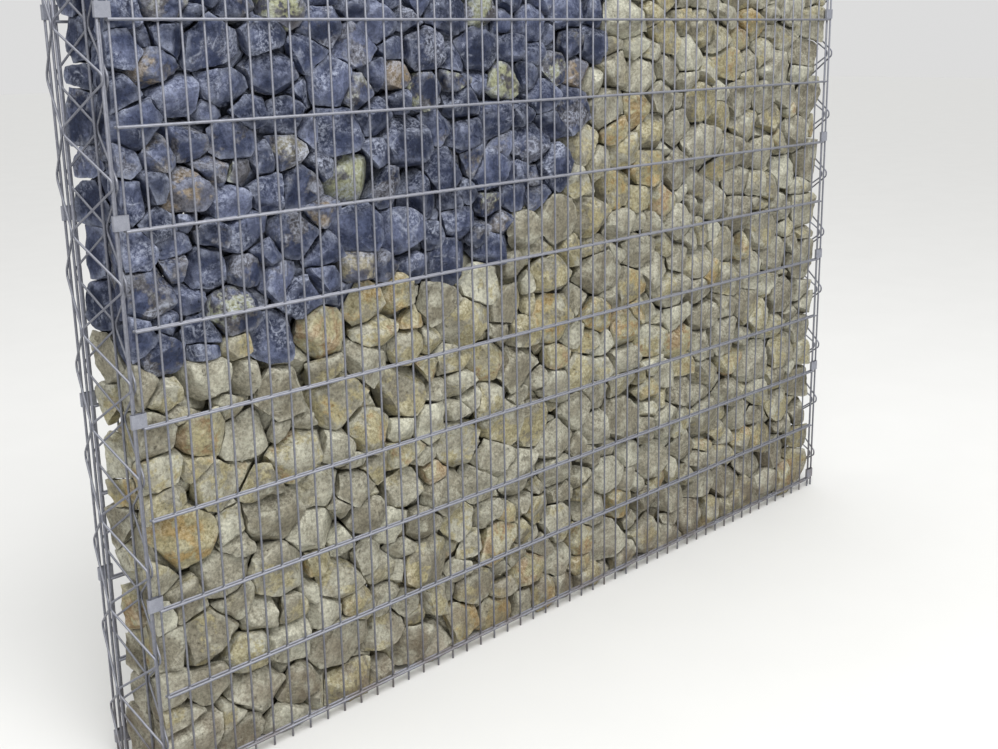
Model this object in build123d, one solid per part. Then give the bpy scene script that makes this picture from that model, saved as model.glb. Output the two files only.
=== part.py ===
"""A free-standing gabion wall: one bay of stones held between two wire mats and two laced end posts.

X runs along the wall, Y runs through it and Z is up. The front mat is at low Y. The origin is the middle
of the base, and the wall stands on Z = 0.
"""

import os

from build123d import *

# Mesh of the two mats: upright wires held between pairs of level rails
mesh_pitch = 50.0
upright_count = 51
rail_pitch = 200.0
rail_count = 10
upright_size = 5.0
rail_size = 6.0
# How far the uprights stand out below the lowest rail
spike = 30.0
# How far the rails run past the outermost uprights
rail_overhang = 4.0

# The wall's thickness, between the upright wires of the two mats
wall_depth = 225.0

# End posts: an outer and an inner frame, each with a rod at the front, one at the back and one midway
rod_size = 6.0
# How far the outer frame stands outside the mats' outermost uprights, at its ends and midway
outer_end_offset = 22.5
outer_middle_offset = 54.0
# The same for the inner frame, whose middle rod stands inside the line of the outermost uprights
inner_end_offset = 15.5
inner_middle_offset = -7.0

# Zigzag lacing of the frames: how far its bends reach past an end rod, and stop short of a middle rod
lacing_size = 5.0
bend_reach = 7.0
bend_setback = 4.0
# Straight length of each bend at an end rod
bend_length = 16.0
# How far the bends sit below a rail, and below the middle between two rails
bend_drop = 8.0

# Clips that join the posts to the outermost uprights of the mats
clip_height = 30.0
clip_wall = 2.0
clip_play = 0.5
# Clips at each corner of the wall, spread evenly over the rails from the lowest one up
clip_count = 5

# Stone fill, in two colours that meet along a stepped line
fill_top_gap = 20.0
# Points of the line between pale and dark stone, as distance from the first upright and height
seam_points = [
    (350, 950),
    (640, 1015),
    (1050, 1040),
    (1200, 1210),
    (1300, 1250),
    (1430, 1565),
    (1500, 1700),
]
# Height of the line at the left end, and how far along it reaches the top
seam_left_height = 950.0
seam_top_distance = 1560.0

wall_length = mesh_pitch * (upright_count - 1)
first_upright = -wall_length / 2
last_upright = wall_length / 2
front_plane = -wall_depth / 2
back_plane = wall_depth / 2
lowest_rail = spike
top_rail = lowest_rail + rail_pitch * (rail_count - 1)
wall_height = top_rail + rail_size / 2
rail_depth = (upright_size + rail_size) / 2
# The inner frame's end rods stand against the clips
inner_step = rod_size + clip_wall

os.makedirs("parts", exist_ok=True)


def save(shape, name):
    """Write one node to its own file."""
    export_step(shape, f"parts/{name}.step")


def bar(low, high):
    """A square-edged bar between two opposite corners."""
    size = [b - a for a, b in zip(low, high)]
    return Pos(*low) * Box(*size, align=(Align.MIN, Align.MIN, Align.MIN))


def rail_heights():
    """The height of each level rail, from the lowest up."""
    return [lowest_rail + rail_pitch * i for i in range(rail_count)]


def upright(x, y):
    """One upright wire of a mat."""
    half = upright_size / 2
    return bar((x - half, y - half, 0), (x + half, y + half, wall_height))


def rail(x_from, x_to, y, z):
    """One level rail of a mat."""
    half = rail_size / 2
    return bar((x_from, y - half, z - half), (x_to, y + half, z + half))


def mat_half(y, side, numbers, x_from, x_to):
    """Half of a mat: its uprights welded to the outer rails, which lie on the given side."""
    uprights = [upright(first_upright + mesh_pitch * i, y) for i in numbers]
    rails = [rail(x_from, x_to, y + side * rail_depth, z) for z in rail_heights()]
    return uprights[0].fuse(*uprights[1:], *rails)


def inner_rails(y, side):
    """The rails of a mat that face the stones."""
    level = y - side * rail_depth
    ends = (first_upright - rail_overhang, last_upright + rail_overhang)
    return Compound(children=[rail(*ends, level, z) for z in rail_heights()])


def build_mats():
    """Both mats, each in two halves that meet midway between two uprights."""
    numbers = range(upright_count)
    left_numbers = numbers[: len(numbers) // 2 + 1]
    right_numbers = numbers[len(left_numbers):]
    joint = first_upright + mesh_pitch * left_numbers[-1] + mesh_pitch / 2
    low_end = first_upright - rail_overhang
    high_end = last_upright + rail_overhang
    for name, y, side in (("front", front_plane, -1), ("back", back_plane, 1)):
        save(mat_half(y, side, left_numbers, low_end, joint), f"{name}_mat_left")
        save(mat_half(y, side, right_numbers, joint, high_end), f"{name}_mat_right")
        save(inner_rails(y, side), f"{name}_mat_inner_rails")


def frame_line(end, middle):
    """The direction in plan from a frame's end rod to its middle rod, and the distance between them."""
    line = Vector(*middle) - Vector(*end)
    return line.normalized(), line.length


def rod(at, end, middle):
    """An upright six-sided rod whose faces lie along both slopes of its frame."""
    line = frame_line(end, middle)[0]
    reach = rod_size / 2
    tip = reach / abs(line.Y)
    flank = reach * (1 - abs(line.X)) / abs(line.Y)
    corners = [(tip, 0), (flank, reach), (-flank, reach), (-tip, 0), (-flank, -reach), (flank, -reach)]
    face = Pos(*at) * make_face(Polyline(*corners, close=True))
    return extrude(face, amount=wall_height)


def zigzag(distance):
    """The middle line of a lacing wire, as distance from the end rod and height."""
    near = -bend_reach
    far = distance - bend_setback
    half = bend_length / 2
    points = []
    for z in rail_heights()[:-1]:
        middle = z + rail_pitch / 2 - bend_drop
        points += [(far, z - bend_drop), (near, middle - half), (near, middle + half)]
    return points + [(far, top_rail - bend_drop)]


def lacing(end, middle, side):
    """A flat zigzag wire on one face of a frame, on the side given along X."""
    line, distance = frame_line(end, middle)
    normal = line.cross(Vector(0, 0, 1))
    turn = side if normal.X > 0 else -side
    plane = Plane(origin=Vector(*end) + normal * turn * rod_size / 2, x_dir=line, z_dir=normal)
    face = trace(Polyline(*zigzag(distance)), line_width=lacing_size)
    return extrude(plane * face, amount=turn * lacing_size)


def clip(x_rod, x_upright, y, z):
    """A bent metal band round an outer end rod and the mat's nearest upright."""
    low = min(x_rod, x_upright) - rod_size / 2 - clip_play
    high = max(x_rod, x_upright) + rod_size / 2 + clip_play
    inside = Rectangle(high - low, rod_size)
    outside = Rectangle(high - low + 2 * clip_wall, rod_size + 2 * clip_wall)
    return Pos((low + high) / 2, y, z) * extrude(outside - inside, amount=clip_height)


def build_post(name, x_upright, outward):
    """One end post outside the upright at x_upright, with its clips."""
    outer_end = x_upright + outward * outer_end_offset
    inner_end = x_upright + outward * inner_end_offset
    outer_middle = (x_upright + outward * outer_middle_offset, 0)
    inner_middle = (x_upright + outward * inner_middle_offset, 0)
    for side, y, inward in (("front", front_plane, 1), ("back", back_plane, -1)):
        outer = (outer_end, y)
        inner = (inner_end, y + inward * inner_step)
        pair = [rod(outer, outer, outer_middle), rod(inner, inner, inner_middle)]
        save(Compound(children=pair), f"{name}_post_{side}_rods")
        save(lacing(outer, outer_middle, outward), f"{name}_post_outer_{side}_lacing")
        save(lacing(inner, inner_middle, -outward), f"{name}_post_inner_{side}_lacing")
        seats = rail_heights()[:: rail_count // clip_count]
        clips = [clip(outer_end, x_upright, y, z + rail_size / 2) for z in seats]
        save(Compound(children=clips), f"{name}_{side}_clips")
    save(rod(outer_middle, (outer_end, front_plane), outer_middle), f"{name}_post_outer_middle_rod")
    inner_front = (inner_end, front_plane + inner_step)
    save(rod(inner_middle, inner_front, inner_middle), f"{name}_post_inner_middle_rod")


def fill_top():
    """The height of the top of the stones."""
    return top_rail - fill_top_gap


def fill_plan():
    """The stones' outline seen from above, with hollow ends that rest on the inner frames' lacing."""
    end = Vector(first_upright - inner_end_offset, front_plane + inner_step)
    middle = Vector(first_upright - inner_middle_offset, 0)
    line = (middle - end).normalized()
    shift = (rod_size / 2 + lacing_size) / line.Y
    face_y = front_plane + rail_depth + rail_size / 2
    corner_x = end.X + shift + (face_y - end.Y) * line.X / line.Y
    hollow_x = middle.X + shift
    corners = [(corner_x, face_y), (-corner_x, face_y), (-hollow_x, 0)]
    corners += [(-corner_x, -face_y), (corner_x, -face_y), (hollow_x, 0)]
    return corners


def seam_line(left):
    """The line between pale and dark stone, from the left end up to the top."""
    between = [(first_upright + along, z) for along, z in seam_points]
    return [(left, seam_left_height), *between, (first_upright + seam_top_distance, fill_top())]


def build_fill():
    """The pale stones below and to the right, and the dark stones above on the left."""
    block = extrude(make_face(Polyline(*fill_plan(), close=True)), amount=fill_top())
    box = block.bounding_box()
    outline = [*seam_line(box.min.X), (box.min.X, fill_top())]
    face = Plane.XZ * make_face(Polyline(*outline, close=True))
    zone = extrude(face, amount=wall_depth / 2, both=True)
    save(block - zone, "pale_stone_fill")
    save(block & zone, "dark_stone_fill")


build_mats()
build_post("left", first_upright, -1)
build_post("right", last_upright, 1)
build_fill()
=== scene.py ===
"""Looks of a free-standing gabion wall: zinc-coated mats and laced end posts round a stone fill.

Every piece is built in the wall's own frame: X along the wall, Y through it, Z up, in metres, with the
origin in the middle of the base.
"""

import logging
import math
import random
from dataclasses import dataclass, field
from enum import Enum

import bmesh
import bpy
import numpy as np
from mathutils import Matrix, Vector


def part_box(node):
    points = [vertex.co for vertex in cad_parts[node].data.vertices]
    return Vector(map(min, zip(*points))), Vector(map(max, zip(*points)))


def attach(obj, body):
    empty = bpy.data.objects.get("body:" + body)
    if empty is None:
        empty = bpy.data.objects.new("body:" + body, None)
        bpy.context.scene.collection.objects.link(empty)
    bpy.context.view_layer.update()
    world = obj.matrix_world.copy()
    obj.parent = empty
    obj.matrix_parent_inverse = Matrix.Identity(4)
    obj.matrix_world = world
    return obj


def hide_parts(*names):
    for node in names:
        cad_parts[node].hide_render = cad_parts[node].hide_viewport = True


LOG = logging.getLogger("gabion_wall")

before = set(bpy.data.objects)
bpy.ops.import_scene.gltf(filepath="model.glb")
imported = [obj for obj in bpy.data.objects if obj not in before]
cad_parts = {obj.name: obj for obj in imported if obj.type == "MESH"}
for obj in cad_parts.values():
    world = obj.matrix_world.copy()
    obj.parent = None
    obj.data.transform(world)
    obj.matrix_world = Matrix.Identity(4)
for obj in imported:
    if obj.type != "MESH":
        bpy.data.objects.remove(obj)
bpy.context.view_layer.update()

MM = 0.001
UP = Vector((0.0, 0.0, 1.0))

# Bevel at a wire's cut ends, as a share of its thickness
WIRE_END_BEVEL = 0.12
# A cut that would take off less than this is left out, and points this near a cut snap to it
LEAST_CUT = 0.4 * MM
CUT_SNAP = 0.1 * MM
# Least cosine of half a bend's angle, which limits how far the wire's outer side stretches
SHARPEST_BEND = 0.3

Colour = tuple[float, float, float, float]
Socket = bpy.types.NodeSocket


class StoneKind(Enum):
    """The two kinds of stone in the fill."""

    PALE = "pale_stone"
    DARK = "dark_stone"

    @property
    def node(self) -> str:
        """The CAD node that the stones of this kind stand for."""
        return f"{self.value}_fill"


class Labelled(Enum):
    """A choice whose name is part of node and piece names."""

    @property
    def label(self) -> str:
        """The name as it stands in node and piece names."""
        return self.name.lower()


class Face(Labelled):
    """The two long faces of the wall, with the sign of their side along Y."""

    FRONT = -1
    BACK = 1


class Layer(Labelled):
    """The layers of stones through the wall, with the sign of their side along Y."""

    FRONT = -1
    CORE = 0
    BACK = 1


class End(Labelled):
    """The two ends of the wall, with the sign of their side along X."""

    LEFT = -1
    RIGHT = 1


@dataclass(frozen=True)
class WallSizes:
    """Driving sizes of the wall, in metres."""

    mesh_pitch: float = 50 * MM
    upright_count: int = 51
    rail_pitch: float = 200 * MM
    rail_count: int = 10
    upright_size: float = 5 * MM
    rail_size: float = 6 * MM
    spike: float = 30 * MM
    rail_overhang: float = 4 * MM
    depth: float = 225 * MM

    @property
    def half_length(self) -> float:
        """Distance from the middle of the wall to its outermost uprights."""
        return self.mesh_pitch * (self.upright_count - 1) / 2

    @property
    def mat_y(self) -> float:
        """Distance from the middle of the wall to the uprights of a mat."""
        return self.depth / 2

    @property
    def rail_step(self) -> float:
        """Distance through the wall from an upright's middle to a rail's middle."""
        return (self.upright_size + self.rail_size) / 2

    @property
    def top_rail(self) -> float:
        """Height of the highest rail."""
        return self.spike + self.rail_pitch * (self.rail_count - 1)

    @property
    def height(self) -> float:
        """Height of the wire ends above the ground."""
        return self.top_rail + self.rail_size / 2

    def rails(self) -> list[float]:
        """The height of each rail, from the lowest up."""
        return [self.spike + self.rail_pitch * i for i in range(self.rail_count)]

    def uprights(self) -> list[float]:
        """The place of each upright along the wall."""
        return [self.mesh_pitch * i - self.half_length for i in range(self.upright_count)]


def srgb(red: int, green: int, blue: int) -> Colour:
    """Turn a display colour into a linear one.

    Args:
        red: Red, 0 to 255.
        green: Green, 0 to 255.
        blue: Blue, 0 to 255.

    Returns:
        The linear colour with full alpha.
    """
    knee, slope, offset, power = 0.04045, 12.92, 0.055, 2.4
    linear = []
    for value in (red, green, blue):
        part = value / 255
        linear.append(part / slope if part <= knee else ((part + offset) / (1 + offset)) ** power)
    return (*linear, 1.0)


class Nodes:
    """A thin helper that adds and links the nodes of one tree."""

    def __init__(self, tree: bpy.types.NodeTree) -> None:
        """Keep the tree and empty it.

        Args:
            tree: The node tree to fill.
        """
        self.tree = tree
        tree.nodes.clear()

    def add(self, kind: str, settings: dict | None = None, **inputs: object) -> bpy.types.Node:
        """Add a node.

        Args:
            kind: The node's type name.
            settings: Properties of the node itself.
            **inputs: Socket values by socket name with spaces as underscores; a socket is linked.

        Returns:
            The new node.
        """
        node = self.tree.nodes.new(kind)
        for name, value in (settings or {}).items():
            setattr(node, name, value)
        for name, value in inputs.items():
            self.feed(self.socket(node, name), value)
        return node

    @staticmethod
    def socket(node: bpy.types.Node, name: str) -> Socket:
        """Find an input by name, with a trailing number for the second or third of that name.

        Args:
            node: The node to look in.
            name: The input's name, with spaces as underscores, such as Value_1.

        Returns:
            The enabled input.
        """
        plain, _, number = name.rpartition("_")
        wanted, order = (plain, int(number)) if number.isdigit() and plain else (name, 0)
        found = [s for s in node.inputs if s.enabled and s.name.replace(" ", "_") == wanted]
        return found[order]

    def feed(self, socket: Socket, value: object) -> None:
        """Link a socket to an output, or set it to a constant.

        Args:
            socket: The input to feed.
            value: An output socket or a constant.
        """
        if isinstance(value, Socket):
            self.tree.links.new(value, socket)
        else:
            socket.default_value = value

    def math(self, operation: str, *values: object, clamp: bool = False) -> Socket:
        """Add a Math node.

        Args:
            operation: The operation's name.
            *values: Its inputs in order.
            clamp: Whether the result is held between 0 and 1.

        Returns:
            The result socket.
        """
        node = self.add("ShaderNodeMath", {"operation": operation, "use_clamp": clamp})
        for socket, value in zip(node.inputs, values):
            self.feed(socket, value)
        return node.outputs[0]

    def ramp(self, value: Socket, low: float, high: float) -> Socket:
        """Turn a range of a value into a smooth 0 to 1 mask.

        Args:
            value: The value to read.
            low: Where the mask is 0.
            high: Where the mask is 1.

        Returns:
            The mask socket.
        """
        node = self.add(
            "ShaderNodeMapRange",
            {"interpolation_type": "SMOOTHSTEP"},
            Value=value,
            From_Min=low,
            From_Max=high,
        )
        return node.outputs[0]

    def mix(self, factor: object, first: object, second: object, blend: str = "MIX") -> Socket:
        """Mix two colours.

        Args:
            factor: How much of the second colour is used.
            first: The first colour.
            second: The second colour.
            blend: The blend mode.

        Returns:
            The mixed colour socket.
        """
        settings = {"data_type": "RGBA", "blend_type": blend, "clamp_factor": True}
        node = self.add("ShaderNodeMix", settings)
        sockets = [s for s in node.inputs if s.enabled]
        for socket, value in zip(sockets, (factor, first, second)):
            self.feed(socket, value)
        return next(s for s in node.outputs if s.enabled)

    def cover(self, under: object, over: object, mask: Socket, share: float) -> Socket:
        """Lay one colour over another where a mask says so.

        Args:
            under: The colour below.
            over: The colour on top.
            mask: Where the colour on top lies.
            share: How much of it shows where the mask is full.

        Returns:
            The mixed colour socket.
        """
        return self.mix(self.math("MULTIPLY", mask, share), under, over)

    def effect(self, group: bpy.types.NodeTree, **inputs: object) -> dict[str, Socket]:
        """Add one of the shared node groups.

        Args:
            group: The node group.
            **inputs: Its input values by name; a socket is linked.

        Returns:
            Its output sockets by name.
        """
        node = self.add("ShaderNodeGroup", {"node_tree": group}, **inputs)
        return {s.name: s for s in node.outputs}

    def facing_up(self, low: float, high: float) -> Socket:
        """Mask the parts of a surface that face the sky.

        Args:
            low: The upward part of the normal where the mask is 0.
            high: Where the mask is 1.

        Returns:
            The mask socket.
        """
        normal = self.add("ShaderNodeNewGeometry").outputs["Normal"]
        split = self.add("ShaderNodeSeparateXYZ", None, Vector=normal)
        return self.ramp(split.outputs["Z"], low, high)

    def noise(self, vector: object, scale: float, detail: float, rough: float) -> Socket:
        """Add a noise texture.

        Args:
            vector: The coordinates.
            scale: Pattern scale, in patterns a metre.
            detail: Number of finer layers.
            rough: How strong the finer layers are.

        Returns:
            The noise value socket.
        """
        inputs = {"Vector": vector, "Scale": scale, "Detail": detail, "Roughness": rough}
        return self.add("ShaderNodeTexNoise", None, **inputs).outputs[0]

    def shifted(self, vector: object, seed: object) -> Socket:
        """Shift coordinates by a seed, so that every stone gets its own pattern.

        Args:
            vector: The coordinates.
            seed: The shift along each axis, in metres.

        Returns:
            The shifted coordinates.
        """
        shift = self.add("ShaderNodeCombineXYZ", None, X=seed, Y=seed, Z=seed).outputs[0]
        node = self.add("ShaderNodeVectorMath", {"operation": "ADD"}, Vector=vector, Vector_1=shift)
        return node.outputs[0]


class SharedEffects:
    """Node groups used by several materials, each built once."""

    def __init__(self) -> None:
        """Build every group."""
        self.grain = self._grain()
        self.veins = self._veins()
        self.wear = self._wear()
        self.dust = self._dust()

    @staticmethod
    def _group(
        name: str, inputs: list[tuple[str, str]], outputs: list[str]
    ) -> tuple[Nodes, dict[str, Socket], bpy.types.Node]:
        """Start a group.

        Args:
            name: The group's name.
            inputs: Name and socket type of each input.
            outputs: Names of the value outputs.

        Returns:
            The node helper, the input sockets by name, and the group's output node.
        """
        tree = bpy.data.node_groups.new(name, "ShaderNodeTree")
        for label, kind in inputs:
            tree.interface.new_socket(name=label, in_out="INPUT", socket_type=kind)
        for label in outputs:
            tree.interface.new_socket(name=label, in_out="OUTPUT", socket_type="NodeSocketFloat")
        nodes = Nodes(tree)
        entry = tree.nodes.new("NodeGroupInput")
        leave = tree.nodes.new("NodeGroupOutput")
        return nodes, {s.name: s for s in entry.outputs if s.name}, leave

    def _grain(self) -> bpy.types.NodeTree:
        """Blotches, fine speckles, pits and a rough height from one set of coordinates.

        Returns:
            The node group.
        """
        inputs = [("Vector", "NodeSocketVector"), ("Scale", "NodeSocketFloat")]
        outputs = ["Blotch", "Speckle", "Pit", "Height"]
        nodes, given, leave = self._group("surface_grain", inputs, outputs)
        scaled = nodes.add("ShaderNodeVectorMath", {"operation": "SCALE"}, Vector=given["Vector"])
        nodes.feed(scaled.inputs["Scale"], given["Scale"])
        vector = scaled.outputs[0]
        blotch = nodes.noise(vector, scale=16.0, detail=3.0, rough=0.6)
        speckle = nodes.noise(vector, scale=130.0, detail=3.0, rough=0.75)
        coarse = nodes.noise(vector, scale=48.0, detail=4.0, rough=0.68)
        pit = nodes.ramp(nodes.math("MULTIPLY_ADD", coarse, 0.5, speckle), low=0.58, high=0.5)
        height = nodes.math("MULTIPLY_ADD", speckle, 0.4, coarse)
        height = nodes.math("MULTIPLY_ADD", pit, -0.3, height)
        for label, socket in zip(outputs, (blotch, speckle, pit, height)):
            nodes.feed(leave.inputs[label], socket)
        return nodes.tree

    def _veins(self) -> bpy.types.NodeTree:
        """Thin veins and powdery crusts that come and go, and the soft patches they lie in.

        Returns:
            The node group.
        """
        inputs = [("Vector", "NodeSocketVector"), ("Powder", "NodeSocketFloat")]
        nodes, given, leave = self._group("stone_veins", inputs, ["Vein", "Patch"])
        winding = nodes.noise(given["Vector"], scale=7.0, detail=2.0, rough=0.5)
        ridge = nodes.math("ABSOLUTE", nodes.math("SUBTRACT", winding, 0.5))
        patch = nodes.noise(given["Vector"], scale=11.0, detail=4.0, rough=0.7)
        line = nodes.ramp(ridge, low=0.012, high=0.0)
        thin = nodes.math("MULTIPLY", line, nodes.ramp(patch, low=0.5, high=0.6))
        powder = nodes.ramp(given["Powder"], low=0.38, high=0.66)
        crust = nodes.math("MULTIPLY", nodes.ramp(patch, low=0.5, high=0.68), powder)
        nodes.feed(leave.inputs["Vein"], nodes.math("MAXIMUM", thin, crust))
        nodes.feed(leave.inputs["Patch"], patch)
        return nodes.tree

    def _wear(self) -> bpy.types.NodeTree:
        """A mask of the edges that stand out, for worn edges with painted highlight, and a mask of the
        hollows, for painted shade, both from the mesh's own shape.

        Returns:
            The node group.
        """
        nodes, _, leave = self._group("edge_wear", [], ["Edge", "Hollow"])
        point = nodes.add("ShaderNodeNewGeometry").outputs["Pointiness"]
        # Edges that stand out: partly worn edges, partly painted highlight
        nodes.feed(leave.inputs["Edge"], nodes.ramp(point, low=0.5, high=0.6))
        # Hollows of the mesh: painted shade
        nodes.feed(leave.inputs["Hollow"], nodes.ramp(point, low=0.5, high=0.42))
        return nodes.tree

    def _dust(self) -> bpy.types.NodeTree:
        """A mask of soil splashed on the lowest part of the wall.

        Returns:
            The node group.
        """
        inputs = [("Vector", "NodeSocketVector"), ("Reach", "NodeSocketFloat")]
        nodes, given, leave = self._group("ground_dust", inputs, ["Mask"])
        split = nodes.add("ShaderNodeSeparateXYZ", None, Vector=given["Vector"])
        rise = nodes.math("DIVIDE", split.outputs["Z"], given["Reach"])
        low = nodes.math("SUBTRACT", 1.0, rise, clamp=True)
        pattern = nodes.noise(given["Vector"], scale=18.0, detail=3.0, rough=0.65)
        splash = nodes.ramp(pattern, low=0.35, high=0.65)
        nodes.feed(leave.inputs["Mask"], nodes.math("MULTIPLY", low, splash))
        return nodes.tree


@dataclass(frozen=True)
class StoneColours:
    """Colours of one kind of broken stone."""

    light: Colour
    body: Colour
    shade: Colour
    warm: Colour
    odd: Colour
    rust: Colour
    vein: Colour
    soil: Colour = srgb(112, 92, 74)
    # How dark the painted shade in hollows and pits is, as a share of the shade colour
    depth: float = 0.3

    @property
    def deep(self) -> Colour:
        """The colour of the painted shade inside hollows and pits."""
        return (*(c * self.depth for c in self.shade[:3]), 1.0)


@dataclass(frozen=True)
class StoneReading:
    """What a stone's material reads at a point: the stone's own values and the shared masks."""

    tone: Socket
    tint: Socket
    blotch: Socket
    speckle: Socket
    pit: Socket
    height: Socket
    vein: Socket
    patch: Socket
    edge: Socket
    hollow: Socket
    dust: Socket


@dataclass(frozen=True)
class StoneFinish:
    """Surface of one kind of broken stone: where its stains begin and how strong its marks are."""

    kind: StoneKind
    colours: StoneColours
    warm_from: float
    warm_share: float
    odd_from: float
    vein_share: float
    # Share of dust and painted light on upward faces
    dusty: float
    roughness: float
    bump: float
    # Share of the light edges: edge wear and painted highlight
    edge: float = 0.4
    warm_span: float = 0.3
    odd_span: float = 0.15
    # Share of the painted shade in the hollows
    hollow: float = 0.6
    # Share of the painted shade in the pits
    pitted: float = 0.55
    splashed: float = 0.45
    splash_reach: float = 0.35
    pattern_step: float = 61.0
    bump_depth: float = 0.005
    shine: float = 0.25

    def _read(self, nodes: Nodes, effects: SharedEffects) -> StoneReading:
        """Add the nodes that read the stone's values and the shared effects.

        Args:
            nodes: The material's nodes.
            effects: The shared node groups.

        Returns:
            The sockets to read.
        """
        place = nodes.add("ShaderNodeTexCoord").outputs["Object"]
        tone = nodes.add("ShaderNodeAttribute", {"attribute_name": "stone_tone"}).outputs["Fac"]
        tint = nodes.add("ShaderNodeAttribute", {"attribute_name": "stone_tint"}).outputs["Fac"]
        own = nodes.shifted(place, nodes.math("MULTIPLY", tone, self.pattern_step))
        grain = nodes.effect(effects.grain, Vector=own, Scale=1.0)
        wear = nodes.effect(effects.wear)
        veins = nodes.effect(effects.veins, Vector=own, Powder=grain["Speckle"])
        dust = nodes.effect(effects.dust, Vector=place, Reach=self.splash_reach)
        return StoneReading(
            tone=tone,
            tint=tint,
            blotch=grain["Blotch"],
            speckle=grain["Speckle"],
            pit=grain["Pit"],
            height=grain["Height"],
            vein=veins["Vein"],
            patch=veins["Patch"],
            edge=wear["Edge"],
            hollow=wear["Hollow"],
            dust=dust["Mask"],
        )

    def _fresh(self, nodes: Nodes, read: StoneReading) -> Socket:
        """Mix the plain stone from its own tone and soft blotches.

        Args:
            nodes: The material's nodes.
            read: What the material reads.

        Returns:
            The colour.
        """
        paint = self.colours
        colour = nodes.mix(nodes.ramp(read.tone, low=0.15, high=0.85), paint.shade, paint.body)
        colour = nodes.cover(colour, paint.light, nodes.ramp(read.tone, low=0.75, high=1.0), share=0.7)
        dim = nodes.ramp(read.blotch, low=0.52, high=0.36)
        colour = nodes.cover(colour, paint.shade, dim, share=0.6)
        bright = nodes.ramp(read.blotch, low=0.5, high=0.66)
        return nodes.cover(colour, paint.light, bright, share=0.55)

    def _stained(self, nodes: Nodes, read: StoneReading, colour: Socket) -> Socket:
        """Lay the warm and the odd-coloured stains over the stone, then its veins and crusts.

        Args:
            nodes: The material's nodes.
            read: What the material reads.
            colour: The plain stone's colour.

        Returns:
            The colour.
        """
        paint = self.colours
        patch = nodes.ramp(read.patch, low=0.42, high=0.58)
        warmth = nodes.math("MULTIPLY_ADD", patch, 0.55, read.tint)
        warm = nodes.ramp(warmth, low=self.warm_from, high=self.warm_from + self.warm_span)
        colour = nodes.cover(colour, paint.warm, warm, share=self.warm_share)
        oddness = nodes.math("MULTIPLY_ADD", patch, 0.45, read.tint)
        odd = nodes.ramp(oddness, low=self.odd_from, high=self.odd_from + self.odd_span)
        strange = nodes.mix(nodes.ramp(read.tone, low=0.3, high=0.8), paint.odd, paint.rust)
        spread = nodes.math("MULTIPLY", odd, nodes.ramp(read.blotch, low=0.42, high=0.54))
        colour = nodes.mix(spread, colour, strange)
        return nodes.cover(colour, paint.vein, read.vein, share=self.vein_share)

    def _worn(self, nodes: Nodes, read: StoneReading, colour: Socket) -> Socket:
        """Add speckled dust and painted light on upward faces, light edges of wear and painted highlight,
        painted shade in hollows, flecks, painted shade in pits, and splashed soil.

        Args:
            nodes: The material's nodes.
            read: What the material reads.
            colour: The stained stone's colour.

        Returns:
            The colour.
        """
        paint = self.colours
        # Upward faces get speckles of the pale vein colour: partly dust, partly painted light on the tops
        sky = nodes.facing_up(low=-0.1, high=0.9)
        top_dust_and_light_mask = nodes.math("MULTIPLY", sky, nodes.ramp(read.speckle, low=0.4, high=0.62))
        colour = nodes.cover(colour, paint.vein, top_dust_and_light_mask, share=self.dusty)
        # Edges that stand out get the pale vein colour: partly worn edges, partly painted highlight
        colour = nodes.cover(colour, paint.vein, read.edge, share=self.edge)
        # Painted shade: hollows of the mesh get the dark deep colour
        colour = nodes.cover(colour, paint.deep, read.hollow, share=self.hollow)
        fleck = nodes.math("MULTIPLY_ADD", nodes.ramp(read.speckle, low=0.32, high=0.66), 0.5, 0.74)
        grey = nodes.add("ShaderNodeCombineColor", None, Red=fleck, Green=fleck, Blue=fleck).outputs[0]
        colour = nodes.mix(1.0, colour, grey, "MULTIPLY")
        # Painted shade: the pits get the dark deep colour
        colour = nodes.cover(colour, paint.deep, read.pit, share=self.pitted)
        return nodes.cover(colour, paint.soil, read.dust, share=self.splashed)

    def material(self, effects: SharedEffects) -> bpy.types.Material:
        """Build the stone's material.

        Args:
            effects: The shared node groups.

        Returns:
            The material.
        """
        made = bpy.data.materials.new(self.kind.value)
        made.use_nodes = True
        nodes = Nodes(made.node_tree)
        read = self._read(nodes, effects)
        colour = self._worn(nodes, read, self._stained(nodes, read, self._fresh(nodes, read)))
        bump = nodes.add(
            "ShaderNodeBump", None, Strength=self.bump, Distance=self.bump_depth, Height=read.height
        )
        shader = nodes.add(
            "ShaderNodeBsdfPrincipled",
            None,
            Base_Color=colour,
            Roughness=self.roughness,
            Specular_IOR_Level=self.shine,
            Normal=bump.outputs[0],
        )
        nodes.add("ShaderNodeOutputMaterial", None, Surface=shader.outputs[0])
        return made


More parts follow.
